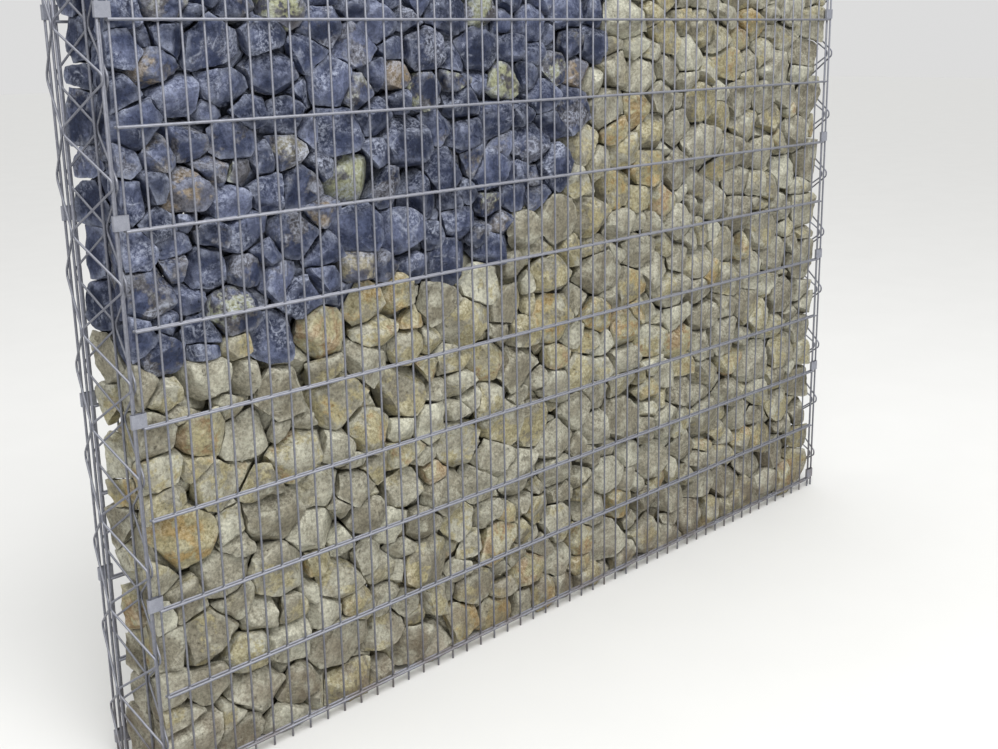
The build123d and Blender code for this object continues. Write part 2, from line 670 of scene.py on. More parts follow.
@dataclass(frozen=True)
class ZincFinish:
    """Zinc-coated steel, as wire or as bent sheet."""

    name: str
    body: Colour
    dull: Colour
    chalk: Colour
    metallic: float
    roughness: float
    spangle: float
    soil: Colour = srgb(108, 94, 82)
    speckled: float = 0.6
    # Share of the chalk on edges that stand out: worn zinc and painted highlight
    worn: float = 0.3
    # Share of the painted highlight on upward faces
    weathered: float = 0.7
    splashed: float = 0.6
    splash_reach: float = 0.25
    rough_spread: float = 0.25
    bump: float = 0.2
    bump_depth: float = 0.0005

    def material(self, effects: SharedEffects) -> bpy.types.Material:
        """Build the zinc material.

        Args:
            effects: The shared node groups.

        Returns:
            The material.
        """
        made = bpy.data.materials.new(self.name)
        made.use_nodes = True
        nodes = Nodes(made.node_tree)
        place = nodes.add("ShaderNodeTexCoord").outputs["Object"]
        grain = nodes.effect(effects.grain, Vector=place, Scale=self.spangle)
        dust = nodes.effect(effects.dust, Vector=place, Reach=self.splash_reach)
        wear = nodes.effect(effects.wear)
        colour = nodes.mix(nodes.ramp(grain["Blotch"], low=0.35, high=0.65), self.body, self.dull)
        speckle = nodes.ramp(grain["Speckle"], low=0.55, high=0.75)
        colour = nodes.cover(colour, self.chalk, speckle, share=self.speckled)
        # Edges that stand out get the chalk: partly worn zinc, partly painted highlight
        colour = nodes.cover(colour, self.chalk, wear["Edge"], share=self.worn)
        # Painted highlight: upward faces get the pale chalk
        sky = nodes.facing_up(low=0.15, high=0.8)
        colour = nodes.cover(colour, self.chalk, sky, share=self.weathered)
        colour = nodes.cover(colour, self.soil, dust["Mask"], share=self.splashed)
        uneven = (grain["Blotch"], self.rough_spread, self.roughness)
        rough = nodes.math("MULTIPLY_ADD", *uneven, clamp=True)
        bump = nodes.add(
            "ShaderNodeBump", None, Strength=self.bump, Distance=self.bump_depth, Height=grain["Height"]
        )
        shader = nodes.add(
            "ShaderNodeBsdfPrincipled",
            None,
            Base_Color=colour,
            Metallic=self.metallic,
            Roughness=rough,
            Normal=bump.outputs[0],
        )
        nodes.add("ShaderNodeOutputMaterial", None, Surface=shader.outputs[0])
        return made


@dataclass(frozen=True)
class FloorFinish:
    """A plain pale studio floor."""

    colour: Colour = srgb(228, 228, 226)
    roughness: float = 0.85
    unevenness: float = 0.04

    def material(self) -> bpy.types.Material:
        """Build the floor's material.

        Returns:
            The material.
        """
        made = bpy.data.materials.new("studio_floor")
        made.use_nodes = True
        nodes = Nodes(made.node_tree)
        place = nodes.add("ShaderNodeTexCoord").outputs["Object"]
        pattern = nodes.noise(place, scale=3.0, detail=2.0, rough=0.5)
        dim = (*(c * (1 - self.unevenness) for c in self.colour[:3]), 1.0)
        colour = nodes.mix(pattern, self.colour, dim)
        inputs = {"Base_Color": colour, "Roughness": self.roughness}
        shader = nodes.add("ShaderNodeBsdfPrincipled", None, **inputs)
        nodes.add("ShaderNodeOutputMaterial", None, Surface=shader.outputs[0])
        return made


PALE_STONE = StoneFinish(
    kind=StoneKind.PALE,
    colours=StoneColours(
        light=srgb(188, 187, 170),
        body=srgb(164, 161, 145),
        shade=srgb(128, 123, 107),
        warm=srgb(159, 150, 113),
        odd=srgb(160, 138, 92),
        rust=srgb(152, 130, 98),
        vein=srgb(206, 205, 190),
    ),
    warm_from=0.88,
    warm_share=0.8,
    odd_from=1.18,
    vein_share=0.3,
    dusty=0.22,
    roughness=0.85,
    bump=0.9,
)
DARK_STONE = StoneFinish(
    kind=StoneKind.DARK,
    colours=StoneColours(
        light=srgb(108, 115, 141),
        body=srgb(63, 71, 97),
        shade=srgb(40, 47, 69),
        warm=srgb(98, 93, 86),
        odd=srgb(158, 160, 130),
        rust=srgb(136, 122, 102),
        vein=srgb(176, 182, 198),
    ),
    warm_from=1.08,
    warm_share=0.6,
    odd_from=1.3,
    vein_share=0.62,
    dusty=0.3,
    roughness=0.75,
    bump=1.0,
)
WIRE_ZINC = ZincFinish(
    name="zinc_wire",
    body=srgb(119, 121, 130),
    dull=srgb(95, 97, 109),
    chalk=srgb(160, 162, 171),
    metallic=0.35,
    roughness=0.38,
    spangle=6.0,
)
CLIP_ZINC = ZincFinish(
    name="zinc_clip",
    body=srgb(124, 127, 140),
    dull=srgb(104, 107, 121),
    chalk=srgb(198, 200, 208),
    metallic=0.42,
    roughness=0.4,
    spangle=4.0,
)


def link_mesh(
    mesh: bpy.types.Mesh, material: bpy.types.Material, smooth: bool = True
) -> bpy.types.Object:
    """Turn a mesh into an object at the origin.

    Args:
        mesh: The mesh.
        material: Its material.
        smooth: Whether its faces are shaded smooth.

    Returns:
        The linked object.
    """
    mesh.materials.append(material)
    mesh.polygons.foreach_set("use_smooth", [smooth] * len(mesh.polygons))
    made = bpy.data.objects.new(mesh.name, mesh)
    bpy.context.scene.collection.objects.link(made)
    return made


def place_mesh(
    bm: bmesh.types.BMesh, name: str, material: bpy.types.Material, smooth: bool = True
) -> bpy.types.Object:
    """Turn a finished bmesh into an object at the origin.

    Args:
        bm: The mesh, which is freed.
        name: The object's name.
        material: Its material.
        smooth: Whether its faces are shaded smooth.

    Returns:
        The linked object.
    """
    bmesh.ops.recalc_face_normals(bm, faces=bm.faces)
    mesh = bpy.data.meshes.new(name)
    bm.to_mesh(mesh)
    bm.free()
    return link_mesh(mesh, material, smooth)


def read_points(mesh: bpy.types.Mesh) -> np.ndarray:
    """Read a mesh's vertices.

    Args:
        mesh: The mesh.

    Returns:
        One row a vertex.
    """
    points = np.zeros(len(mesh.vertices) * 3)
    mesh.vertices.foreach_get("co", points)
    return points.reshape(-1, 3)


def move_points(points: np.ndarray, place: Matrix) -> np.ndarray:
    """Transform points.

    Args:
        points: One row a point.
        place: The transform.

    Returns:
        The moved points.
    """
    turn = np.array(place)
    return points @ turn[:3, :3].T + turn[:3, 3]


def join_meshes(name: str, parts: list[bpy.types.Mesh], points: list[np.ndarray]) -> bpy.types.Mesh:
    """Join meshes into one, each with its own new points.

    Args:
        name: The joined mesh's name.
        parts: The meshes, in order.
        points: The points of each mesh.

    Returns:
        The joined mesh.
    """
    bm = bmesh.new()
    for part in parts:
        bm.from_mesh(part)
    mesh = bpy.data.meshes.new(name)
    bm.to_mesh(mesh)
    bm.free()
    mesh.vertices.foreach_set("co", np.concatenate(points).ravel())
    mesh.update()
    return mesh


def dress(piece: bpy.types.Object, nodes: list[str]) -> None:
    """Attach a piece to the wall's body and hide the CAD nodes it stands for.

    Args:
        piece: The finished piece.
        nodes: The CAD nodes that the piece replaces.
    """
    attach(piece, "root")
    if nodes:
        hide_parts(*nodes)
    LOG.info("%s: %d faces", piece.name, len(piece.data.polygons))


def add_wire(bm: bmesh.types.BMesh, start: Vector, stop: Vector, size: float, sides: int) -> None:
    """Add a straight round wire with slightly rounded ends.

    Args:
        bm: The mesh to add to.
        start: The middle of the wire's first end.
        stop: The middle of its last end.
        size: The wire's thickness.
        sides: The number of its flat sides.
    """
    line = stop - start
    turn = line.to_track_quat("Z", "X").to_matrix().to_4x4()
    place = Matrix.Translation((start + stop) / 2) @ turn
    made = bmesh.ops.create_cone(
        bm,
        cap_ends=True,
        segments=sides,
        radius1=size / 2,
        radius2=size / 2,
        depth=line.length,
        matrix=place,
    )
    edges = {e for v in made["verts"] for e in v.link_edges}
    rims = [e for e in edges if any(len(f.verts) > 4 for f in e.link_faces)]
    offset = size * WIRE_END_BEVEL
    bmesh.ops.bevel(
        bm, geom=rims, offset=offset, segments=1, affect="EDGES", profile=0.5, material=-1
    )


def add_bent_wire(
    bm: bmesh.types.BMesh, points: list[Vector], normal: Vector, size: float, sides: int
) -> None:
    """Sweep a round wire along points that lie in one plane.

    Args:
        bm: The mesh to add to.
        points: The wire's middle line.
        normal: The plane's normal.
        size: The wire's thickness.
        sides: The number of its flat sides.
    """
    frames = []
    for i, point in enumerate(points):
        back = (point - points[i - 1]).normalized() if i > 0 else None
        ahead = (points[i + 1] - point).normalized() if i < len(points) - 1 else None
        back, ahead = back or ahead, ahead or back
        tangent = (back + ahead).normalized()
        stretch = 1 / max(SHARPEST_BEND, tangent.dot(ahead))
        side = tangent.cross(normal)
        frames.append(Matrix((normal, side * stretch, tangent)).transposed().to_4x4())
        frames[-1].translation = point
    ring = bmesh.ops.create_circle(bm, cap_ends=True, segments=sides, radius=size / 2, matrix=frames[0])
    verts = ring["verts"]
    edges = list({e for v in verts for e in v.link_edges})
    for before, now in zip(frames, frames[1:]):
        made = bmesh.ops.extrude_edge_only(bm, edges=edges)["geom"]
        verts = [g for g in made if isinstance(g, bmesh.types.BMVert)]
        edges = [g for g in made if isinstance(g, bmesh.types.BMEdge)]
        bmesh.ops.transform(bm, matrix=now @ before.inverted(), verts=verts)
    bmesh.ops.contextual_create(bm, geom=edges)


@dataclass
class MeshMat:
    """One welded mat: upright wires between pairs of level rails."""

    face: Face
    sizes: WallSizes
    upright_sides: int = 8
    rail_sides: int = 8
    weld_width: float = 4.2 * MM
    weld_depth: float = 2.6 * MM
    weld_spread: tuple[float, float] = (0.85, 1.2)

    def _wires(self) -> bmesh.types.BMesh:
        """The uprights and rails as one mesh.

        Returns:
            The mesh.
        """
        sizes = self.sizes
        y = self.face.value * sizes.mat_y
        bm = bmesh.new()
        for x in sizes.uprights():
            top = Vector((x, y, sizes.height))
            add_wire(bm, Vector((x, y, 0)), top, sizes.upright_size, self.upright_sides)
        end = sizes.half_length + sizes.rail_overhang
        for z in sizes.rails():
            for step in (-sizes.rail_step, sizes.rail_step):
                start = Vector((-end, y + step, z))
                add_wire(bm, start, Vector((end, y + step, z)), sizes.rail_size, self.rail_sides)
        return bm

    def _welds(self, name: str) -> bpy.types.Mesh:
        """The weld beads where uprights and rails cross, as one mesh.

        Args:
            name: The mesh's name.

        Returns:
            The mesh.
        """
        sizes = self.sizes
        rng = random.Random(f"welds {self.face.label}")
        y = self.face.value * sizes.mat_y
        bm = bmesh.new()
        bmesh.ops.create_uvsphere(bm, u_segments=6, v_segments=4, radius=1.0)
        bead = bpy.data.meshes.new("weld_bead")
        bm.to_mesh(bead)
        bm.free()
        places = []
        for z in sizes.rails():
            for x in sizes.uprights():
                for side in (-1, 1):
                    width = self.weld_width * rng.uniform(*self.weld_spread)
                    level = min(z, sizes.height - width)
                    middle = Vector((x, y + side * sizes.upright_size / 2, level))
                    size = Matrix.Diagonal((width, self.weld_depth, width, 1))
                    places.append(Matrix.Translation(middle) @ size)
        points = read_points(bead)
        joined = join_meshes(name, [bead] * len(places), [move_points(points, m) for m in places])
        bpy.data.meshes.remove(bead)
        return joined

    def build(self, material: bpy.types.Material) -> None:
        """Build and dress the mat.

        Args:
            material: The zinc material.
        """
        label = self.face.label
        nodes = [f"{label}_mat_left", f"{label}_mat_right", f"{label}_mat_inner_rails"]
        dress(place_mesh(self._wires(), f"{label}_mat_wires", material), nodes)
        dress(link_mesh(self._welds(f"{label}_mat_welds"), material), [])


@dataclass
class EndPost:
    """One end post: an outer and an inner frame of round rods with bent lacing wires."""

    end: End
    sizes: WallSizes
    rod_size: float = 6 * MM
    lacing_size: float = 5 * MM
    outer_end_offset: float = 22.5 * MM
    outer_middle_offset: float = 54 * MM
    inner_end_offset: float = 15.5 * MM
    inner_middle_offset: float = -7 * MM
    inner_step: float = 8 * MM
    bend_reach: float = 7 * MM
    bend_setback: float = 3 * MM
    bend_length: float = 16 * MM
    bend_drop: float = 8 * MM
    bend_radius: float = 7 * MM
    bend_share: float = 0.45
    bend_points: int = 4
    sides: int = 8

    def _rounded(self, corners: list[Vector]) -> list[Vector]:
        """Round the corners of a wire's middle line.

        Args:
            corners: The corner points.

        Returns:
            The points of the rounded line.
        """
        points = [corners[0]]
        for before, corner, after in zip(corners, corners[1:], corners[2:]):
            back = before - corner
            ahead = after - corner
            cut = min(self.bend_radius, back.length * self.bend_share, ahead.length * self.bend_share)
            start = corner + back.normalized() * cut
            stop = corner + ahead.normalized() * cut
            for i in range(self.bend_points + 1):
                t = i / self.bend_points
                points.append(start * (1 - t) ** 2 + corner * 2 * t * (1 - t) + stop * t * t)
        return [*points, corners[-1]]

    def _lacing(self, bm: bmesh.types.BMesh, end: Vector, middle: Vector, side: int) -> None:
        """Add the zigzag wire on one face of a frame.

        Args:
            bm: The mesh to add to.
            end: The frame's end rod in plan.
            middle: The frame's middle rod in plan.
            side: The side of the frame along X.
        """
        line = (middle - end).normalized()
        normal = line.cross(UP)
        normal *= math.copysign(1, normal.x) * side
        base = end + normal * (self.rod_size + self.lacing_size) / 2
        far = (middle - end).length - self.bend_setback
        half = self.bend_length / 2
        corners = []
        for z in self.sizes.rails()[:-1]:
            low = z - self.bend_drop
            turn = z + self.sizes.rail_pitch / 2 - self.bend_drop
            corners += [(far, low - half), (far, low + half)]
            corners += [(-self.bend_reach, turn - half), (-self.bend_reach, turn + half)]
        corners.append((far, self.sizes.top_rail - self.bend_drop))
        corners[0] = (far, corners[0][1] + half)
        path = self._rounded([base + line * t + UP * z for t, z in corners])
        add_bent_wire(bm, path, normal, self.lacing_size, self.sides)

    def _rod(self, bm: bmesh.types.BMesh, at: Vector) -> None:
        """Add an upright rod.

        Args:
            bm: The mesh to add to.
            at: Its place in plan.
        """
        add_wire(bm, at.copy(), at + UP * self.sizes.height, self.rod_size, self.sides)

    def build(self, material: bpy.types.Material) -> None:
        """Build and dress the post.

        Args:
            material: The zinc material.
        """
        out = self.end.value
        edge = out * self.sizes.half_length
        label = self.end.label
        outer_middle = Vector((edge + out * self.outer_middle_offset, 0, 0))
        inner_middle = Vector((edge + out * self.inner_middle_offset, 0, 0))
        rods = bmesh.new()
        lacing = bmesh.new()
        for face in Face:
            y = face.value * self.sizes.mat_y
            outer = Vector((edge + out * self.outer_end_offset, y, 0))
            inner = Vector((edge + out * self.inner_end_offset, y - face.value * self.inner_step, 0))
            for at in (outer, inner):
                self._rod(rods, at)
            self._lacing(lacing, outer, outer_middle, out)
            self._lacing(lacing, inner, inner_middle, -out)
        for at in (outer_middle, inner_middle):
            self._rod(rods, at)
        frames = ("outer", "inner")
        rod_nodes = [f"{label}_post_{face.label}_rods" for face in Face]
        rod_nodes += [f"{label}_post_{which}_middle_rod" for which in frames]
        corners = [f"{which}_{face.label}" for which in frames for face in Face]
        lacing_nodes = [f"{label}_post_{corner}_lacing" for corner in corners]
        dress(place_mesh(rods, f"{label}_post_rods", material), rod_nodes)
        dress(place_mesh(lacing, f"{label}_post_lacing", material), lacing_nodes)


@dataclass
class ClipSet:
    """The bent sheet clips at one corner of the wall."""

    end: End
    face: Face
    sizes: WallSizes
    wall: float = 2 * MM
    every: int = 2
    corner: float = 2.4 * MM

    def _clip(self, bm: bmesh.types.BMesh, low: Vector, high: Vector) -> None:
        """Add one clip that fills a box.

        Args:
            bm: The mesh to add to.
            low: The box's lowest corner.
            high: The box's highest corner.
        """
        size = high - low
        place = Matrix.Translation((low + high) / 2) @ Matrix.Diagonal((*size, 1))
        made = bmesh.ops.create_cube(bm, size=1.0, matrix=place)
        faces = {f for v in made["verts"] for f in v.link_faces}
        ends = [f for f in faces if abs(f.normal.z) > 0.9]
        bmesh.ops.delete(bm, geom=ends, context="FACES_ONLY")
        faces -= set(ends)
        edges = {e for f in faces for e in f.edges}
        uprights = [e for e in edges if abs((e.verts[0].co - e.verts[1].co).z) > size.z / 2]
        rounded = bmesh.ops.bevel(
            bm, geom=uprights, offset=self.corner, segments=3, affect="EDGES", profile=0.5, material=-1
        )
        faces = {f for f in faces if f.is_valid} | set(rounded["faces"])
        bmesh.ops.recalc_face_normals(bm, faces=list(faces))
        bmesh.ops.solidify(bm, geom=list(faces), thickness=self.wall)

    def build(self, material: bpy.types.Material) -> None:
        """Build and dress the clips.

        Args:
            material: The sheet material.
        """
        node = f"{self.end.label}_{self.face.label}_clips"
        low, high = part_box(node)
        seats = self.sizes.rails()[:: self.every]
        tall = high.z - seats[-1] - self.sizes.rail_size / 2
        bm = bmesh.new()
        for z in seats:
            bottom = z + self.sizes.rail_size / 2
            self._clip(bm, Vector((low.x, low.y, bottom)), Vector((high.x, high.y, bottom + tall)))
        dress(place_mesh(bm, f"{node}_bands", material, smooth=False), [node])


@dataclass
class Stone:
    """One stone of the fill: its place, its reach and its own colour values."""

    at: Vector
    reach: float
    layer: Layer
    kind: StoneKind
    tone: float
    tint: float


@dataclass(frozen=True)
class Landmark:
    """A stone that stands out, as distance from the first upright, height, reach and colour values."""

    along: float
    height: float
    reach: float
    tone: float
    tint: float = 1.3


@dataclass(frozen=True)
class StoneShape:
    """How worn one kind of stone is: how far its rim falls back, and how soft its edges are."""

    bulge: float
    softness: float


@dataclass(frozen=True)
class Relief:
    """One size of lump or dent: patterns a metre, and height."""

    scale: float
    height: float


@dataclass(frozen=True)
class SurfaceNoise:
    """Smooth random values at any place, from a seeded block of random numbers."""

    seed: int
    size: int = 32

    def at(self, points: np.ndarray, scale: float) -> np.ndarray:
        """Read the noise.

        Args:
            points: One row a point, in metres.
            scale: Pattern scale, in patterns a metre.

        Returns:
            A value from -1 to 1 for each point.
        """
        block = np.random.default_rng(self.seed).uniform(-1, 1, (self.size,) * 3)
        scaled = points * scale
        cell = np.floor(scaled).astype(int)
        part = scaled - cell
        part = part * part * (3 - 2 * part)
        total = np.zeros(len(points))
        for corner in np.ndindex(2, 2, 2):
            weight = np.prod(np.where(corner, part, 1 - part), axis=1)
            x, y, z = ((cell + corner) % self.size).T
            total += weight * block[x, y, z]
        return total


@dataclass
class StoneFill:
    """The broken stones: three layers of cells that share out the room between the mats."""

    sizes: WallSizes
    seed: int = 11
    # Places: the larger stones first, with how often each size is tried
    squash: float = 1.22
    reaches: tuple[float, ...] = (0.078, 0.067, 0.056, 0.046, 0.038, 0.030)
    tries: tuple[int, ...] = (45, 220, 900, 1800, 3000, 3000)
    core_reaches: tuple[float, ...] = (0.062, 0.052)
    core_tries: tuple[int, ...] = (900, 900)
    reach_spread: tuple[float, float] = (0.92, 1.08)
    dark_share: float = 0.88
    spacing: float = 0.86
    edge_room: float = 30 * MM
    layer_y: float = 66 * MM
    layer_jitter: float = 12 * MM
    # Planes between neighbours
    joint: float = 0.6 * MM
    blank: float = 0.42
    near: float = 0.34
    lean: float = 0.13
    lean_near: float = 0.15
    pair_step: int = 100003
    least_share: float = 0.2
    # Limits at the mats, the top, the ground and the posts
    skin: float = 1 * MM
    face_tilt: float = 0.15
    recess: float = 6 * MM
    deep_recess: tuple[float, float] = (8 * MM, 20 * MM)
    deep_one_in: int = 6
    top_tilt: float = 0.1
    top_drop: tuple[float, float] = (4 * MM, 30 * MM)
    foot_gap: float = 2 * MM
    end_gap: tuple[float, float] = (1 * MM, 4 * MM)
    end_hollow: float = 15.2 * MM
    end_band: float = 90 * MM
    # Chips broken off, and the surface
    chips: tuple[int, int] = (5, 10)
    end_chips: int = 3
    chip_scatter: float = 0.9
    chip_outward: tuple[float, float] = (0.9, 0.4)
    chip_depth: tuple[float, float] = (0.03, 0.17)
    pale_shape: StoneShape = StoneShape(bulge=6.5 * MM, softness=0.26)
    dark_shape: StoneShape = StoneShape(bulge=5 * MM, softness=0.26)
    fine: float = 13.5 * MM
    coarse: float = 50 * MM
    fine_depth: float = 30 * MM
    merge: float = 2 * MM
    rounds: int = 6
    sharp_angle: float = 35.0
    lumps: Relief = Relief(scale=24, height=3.4 * MM)
    dents: Relief = Relief(scale=34, height=4.6 * MM)
    grit: Relief = Relief(scale=85, height=2 * MM)
    dent_shift: float = 5.0
    noise_step: tuple[float, float, float] = (1.37, 0.71, 0.0)
    swell: float = 0.4 * MM
    room: float = 0.5 * MM
    # How the front of a stone falls back towards its rim
    rim_limit: float = 1.4
    rim_power: float = 1.5
    least_fall: float = 0.3
    fall_turns: float = 1.4
    end_fall: float = 0.1
    # Places along the wall where the stones are parted into pieces
    piece_cuts: tuple[float, ...] = (-math.inf, 0.0, 0.7, math.inf)
    # Points of the line between pale and dark stone, as distance from the first upright and height
    seam: tuple[tuple[float, float], ...] = (
        (0.0, 0.950),
        (0.350, 0.950),
        (0.640, 1.015),
        (1.050, 1.040),
        (1.200, 1.210),
        (1.300, 1.250),
        (1.430, 1.565),
        (1.500, 1.700),
        (1.560, 1.815),
    )
    # Stones that stand out in the dark zone and at the left end
    landmarks: tuple[Landmark, ...] = (
        Landmark(0.152, 1.288, 0.054, 0.9, 1.24),
        Landmark(0.155, 1.486, 0.050, 0.95, 0.4),
        Landmark(0.575, 1.277, 0.070, 0.1),
        Landmark(0.713, 1.506, 0.042, 0.85),
        Landmark(0.800, 1.465, 0.052, 0.2, 1.05),
        Landmark(1.053, 1.479, 0.052, 0.15),
        Landmark(0.578, 1.079, 0.048, 0.6, 1.24),
        Landmark(0.283, 1.323, 0.028, 0.1),
        Landmark(0.402, 1.661, 0.050, 0.3, 1.26),
        Landmark(0.990, 1.650, 0.052, 0.2),
        Landmark(1.330, 1.490, 0.046, 0.8),
        Landmark(0.660, 1.620, 0.052, 1.0, 0.2),
        Landmark(0.590, 1.575, 0.048, 0.97, 0.8),
        Landmark(0.246, 1.253, 0.046, 1.0, 0.1),
        Landmark(0.530, 1.385, 0.064, 0.5, 0.1),
        Landmark(0.087, 0.554, 0.084, 0.4, 1.08),
        Landmark(0.146, 0.771, 0.054, 0.85, 1.04),
        Landmark(0.256, 0.739, 0.064, 0.75, 0.3),
    )
    stones: list[Stone] = field(default_factory=list)
    # The fill's corner at high X, Y and Z
    corner: Vector = field(init=False)

    def __post_init__(self) -> None:
        """Read the fill's corner from the solids."""
        tops = [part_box(kind.node)[1] for kind in StoneKind]
        self.corner = Vector([max(top[i] for top in tops) for i in range(3)])

    def _shape(self, kind: StoneKind) -> StoneShape:
        """How worn the stones of one kind are."""
        return self.pale_shape if kind is StoneKind.PALE else self.dark_shape

    def _kind(self, x: float, z: float) -> StoneKind:
        """The kind of stone at a place on the wall's face.

        Args:
            x: Place along the wall.
            z: Height.

        Returns:
            Dark above the seam on the left, else pale.
        """
        along = x + self.sizes.half_length
        if along > self.seam[-1][0]:
            return StoneKind.PALE
        line = np.interp(along, [p[0] for p in self.seam], [p[1] for p in self.seam])
        return StoneKind.DARK if z > line else StoneKind.PALE

    def _scatter(self, layer: Layer) -> None:
        """Place the stones of one layer, the largest first.

        Args:
            layer: The layer.
        """
        rng = random.Random(f"stones {self.seed} {layer.label}")
        chosen = self.landmarks if layer is Layer.FRONT else ()
        half = self.sizes.half_length
        spots = np.array([(m.along - half, m.height, m.reach) for m in chosen]).reshape(-1, 3)
        core = layer is Layer.CORE
        reaches = self.core_reaches if core else self.reaches
        for reach, count in zip(reaches, self.core_tries if core else self.tries):
            for _ in range(count):
                x = rng.uniform(-half, half)
                z = rng.uniform(self.edge_room, self.corner.z - self.edge_room)
                size = reach * rng.uniform(*self.reach_spread)
                if self._kind(x, z) is StoneKind.DARK:
                    size *= self.dark_share
                gaps = np.hypot(x - spots[:, 0], (z - spots[:, 1]) * self.squash)
                if (gaps >= self.spacing * (size + spots[:, 2])).all():
                    spots = np.vstack((spots, (x, z, size)))
        for number, (x, z, size) in enumerate(spots):
            y = layer.value * (self.layer_y + rng.uniform(-self.layer_jitter, self.layer_jitter))
            tone, tint = rng.random(), rng.random()
            if number < len(chosen):
                tone, tint = chosen[number].tone, chosen[number].tint
            self.stones.append(Stone(Vector((x, y, z)), size, layer, self._kind(x, z), tone, tint))

    def _shares(self, index: int, places: np.ndarray, reaches: np.ndarray) -> list[tuple[Vector, Vector]]:
        """The planes that part one stone from its neighbours, the nearest first.

        Args:
            index: The stone's number.
            places: The places of all the stones.
            reaches: The reaches of all the stones.

        Returns:
            A point and an outward normal for each plane.
        """
        scale = np.array((1.0, 1.0, self.squash))
        gaps = np.linalg.norm((places - places[index]) * scale, axis=1)
        order = [int(j) for j in np.argsort(gaps)[1:] if gaps[j] < self.near]
        planes = []
        for other in order:
            first, second = min(index, other), max(index, other)
            rng = random.Random(first * self.pair_step + second)
            span = places[second] - places[first]
            share = 0.5 + (reaches[first] ** 2 - reaches[second] ** 2) / (2 * gaps[other] ** 2)
            share = min(1 - self.least_share, max(self.least_share, share))
            point = Vector(places[first] + span * share)
            normal = Vector(span * scale * scale).normalized()
            if gaps[other] < self.lean_near:
                normal += Vector([rng.gauss(0, self.lean) for _ in range(3)])
                normal.normalize()
            if index == second:
                normal = -normal
            planes.append((point - normal * self.joint, normal))
        return planes

    def _limits(self, stone: Stone, rng: random.Random) -> list[tuple[Vector, Vector]]:
        """The limits that the mats, the ground, the top and the posts set to a stone.

        Args:
            stone: The stone.
            rng: The stone's own random source.

        Returns:
            A point and an outward normal for each limit.
        """
        corner = self.corner
        limits = []
        for side in (face.value for face in Face if face.value != -stone.layer.value):
            tilt = Vector((rng.gauss(0, self.face_tilt), side, rng.gauss(0, self.face_tilt)))
            tilt.normalize()
            recess = abs(rng.gauss(0, self.recess))
            deep = rng.choice(range(self.deep_one_in)) == self.deep_one_in - 1
            recess += deep * rng.uniform(*self.deep_recess)
            skin = side * (corner.y - self.skin)
            limits.append((Vector((stone.at.x, skin - side * recess, stone.at.z)), tilt))
            limits.append((Vector((0, skin, 0)), Vector((0, side, 0))))
        slope = Vector((rng.gauss(0, self.top_tilt), rng.gauss(0, self.top_tilt), 1)).normalized()
        top = corner.z - rng.uniform(*self.top_drop)
        limits.append((Vector((stone.at.x, stone.at.y, top)), slope))
        limits.append((Vector((0, 0, corner.z - self.skin)), UP))
        limits.append((Vector((0, 0, rng.uniform(0.0, self.foot_gap))), -UP))
        for end in End:
            setback = rng.uniform(*self.end_gap)
            for face in Face:
                edge = Vector((end.value * corner.x, face.value * corner.y, 0))
                hollow = Vector((end.value * (self.sizes.half_length - self.end_hollow), 0, 0))
                normal = (hollow - edge).cross(UP).normalized()
                normal *= math.copysign(1, normal.x) * end.value
                if stone.layer.value in (face.value, Layer.CORE.value):
                    limits.append((edge - normal * setback, normal))
        return limits

    @staticmethod
    def _cut(bm: bmesh.types.BMesh, point: Vector, normal: Vector) -> None:
        """Cut off what lies beyond a plane and close the cut.

        Args:
            bm: A convex closed mesh.
            point: A point of the plane.
            normal: The plane's outward normal.
        """
        beyond = max(v.co.dot(normal) for v in bm.verts) - point.dot(normal)
        if beyond < LEAST_CUT:
            return
        geom = bm.verts[:] + bm.edges[:] + bm.faces[:]
        made = bmesh.ops.bisect_plane(
            bm, geom=geom, dist=CUT_SNAP, plane_co=point, plane_no=normal, clear_outer=True
        )
        rim = [g for g in made["geom_cut"] if isinstance(g, bmesh.types.BMEdge)]
        if len(rim) > 2:
            bmesh.ops.contextual_create(bm, geom=rim)

    def _edge_limit(self, edge: bmesh.types.BMEdge, stone: Stone) -> float:
        """How long an edge of a stone may stay: short where it shows, long inside the wall.

        Args:
            edge: The edge.
            stone: Its stone.

        Returns:
            The longest length.
        """
        middle = (edge.verts[0].co + edge.verts[1].co) / 2
        from_face = self.corner.y - middle.y * stone.layer.value
        hidden = min(from_face, self.corner.z - middle.z, self.corner.x - abs(middle.x))
        share = min(1.0, max(0.0, (hidden - self.fine_depth) / self.fine_depth))
        return self.fine + (self.coarse - self.fine) * share

    def _refine(self, bm: bmesh.types.BMesh, stone: Stone) -> None:
        """Divide a stone's faces until their edges are short enough.

        Args:
            bm: The stone.
            stone: Its place.
        """
        bmesh.ops.remove_doubles(bm, verts=bm.verts, dist=self.merge)
        bmesh.ops.triangulate(bm, faces=bm.faces)
        for _ in range(self.rounds):
            long = [e for e in bm.edges if e.calc_length() > self._edge_limit(e, stone)]
            if not long:
                break
            bmesh.ops.subdivide_edges(bm, edges=long, cuts=1)
            wide = [f for f in bm.faces if len(f.verts) > 3]
            bmesh.ops.triangulate(bm, faces=wide, quad_method="SHORT_EDGE", ngon_method="BEAUTY")

